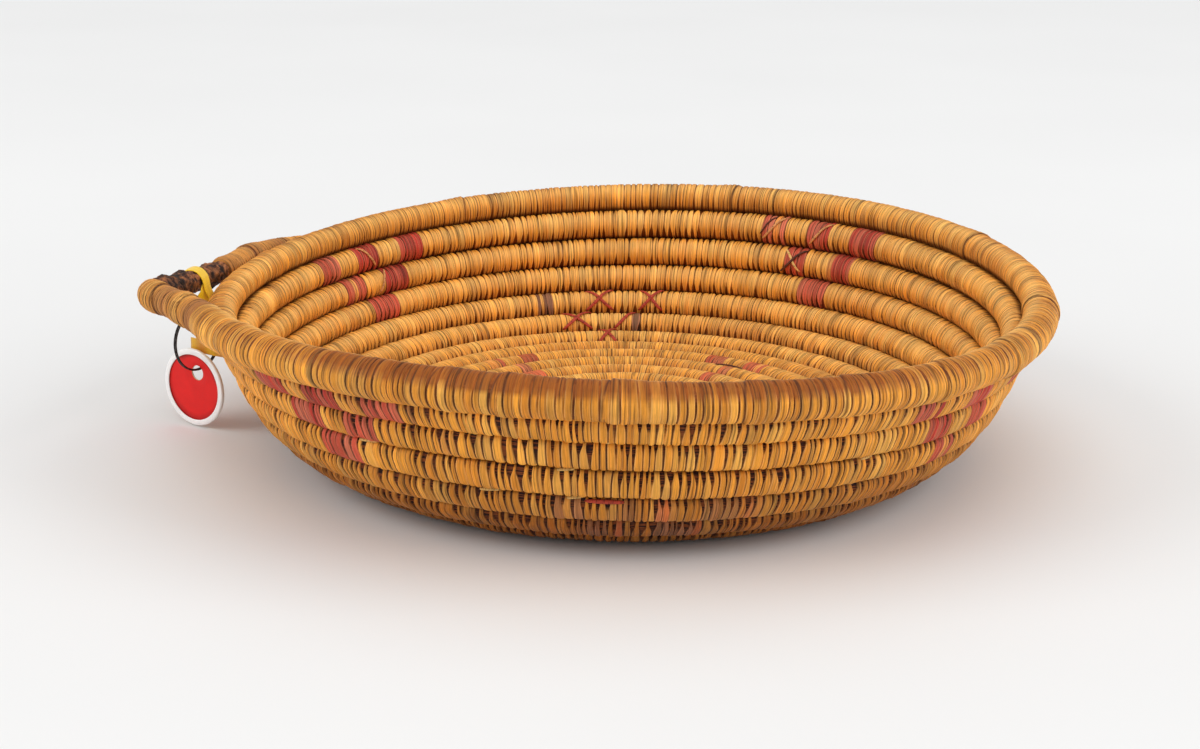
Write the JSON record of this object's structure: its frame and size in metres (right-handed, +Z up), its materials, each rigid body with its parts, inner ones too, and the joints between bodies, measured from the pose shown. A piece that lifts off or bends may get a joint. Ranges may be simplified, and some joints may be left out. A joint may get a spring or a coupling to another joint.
{
  "type": "coiled grass basket bowl",
  "caption": "Shallow coiled grass basket bowl: a wrapped coil spirals up the wall and leaves the rim as a loop handle, with a ribbon, ring and round tag.",
  "frame": {"origin": "middle of the base, on the flat underside that the basket stands on", "axes": "+Z up out of the bowl, -X towards the loop handle, -Y towards the side that the picture shows"},
  "size_m": [0.3519, 0.3323, 0.0733],
  "materials": {
    "wrapped_grass": "dry wrapped grass splints",
    "bare_grass": "dark dry grass bundle",
    "yellow_ribbon": "satin ribbon",
    "ring_steel": "dark drawn wire",
    "tag_red": "matte coated card",
    "tag_metal": "pressed metal, satin"
  },
  "bodies": {
    "basket": {"foundation_coil": "bare_grass", "start_knot": "wrapped_grass", "rim_wrap": "wrapped_grass", "wall_wrap_1": "wrapped_grass", "wall_wrap_2": "wrapped_grass", "wall_wrap_3": "wrapped_grass", "wall_wrap_4": "wrapped_grass", "wall_wrap_5": "wrapped_grass", "wall_wrap_6": "wrapped_grass", "base_wrap_1": "wrapped_grass", "base_wrap_2": "wrapped_grass", "base_wrap_3": "wrapped_grass", "base_wrap_4": "wrapped_grass", "base_wrap_5": "wrapped_grass", "base_wrap_6": "wrapped_grass", "base_wrap_7": "wrapped_grass", "base_wrap_8": "wrapped_grass", "handle_wrap_front": "wrapped_grass", "handle_wrap_back": "wrapped_grass", "ribbon": "yellow_ribbon"},
    "ring": {"split_ring": "ring_steel"},
    "tag": {"tag_card": "tag_red", "tag_rim": "tag_metal"}
  },
  "joints": [
    {"name": "ring_swing", "type": "hinge", "parent": "basket", "child": "ring", "pos_m": [-0.16995, 0.00464, 0.04945], "axis": [-0.5534, -0.8329, 0], "range_deg": [-105, 10]},
    {"name": "tag_swing", "type": "hinge", "parent": "ring", "child": "tag", "pos_m": [-0.16995, 0.00464, 0.02465], "axis": [-0.5534, -0.8329, 0], "range_deg": [-50, 80]}
  ]
}
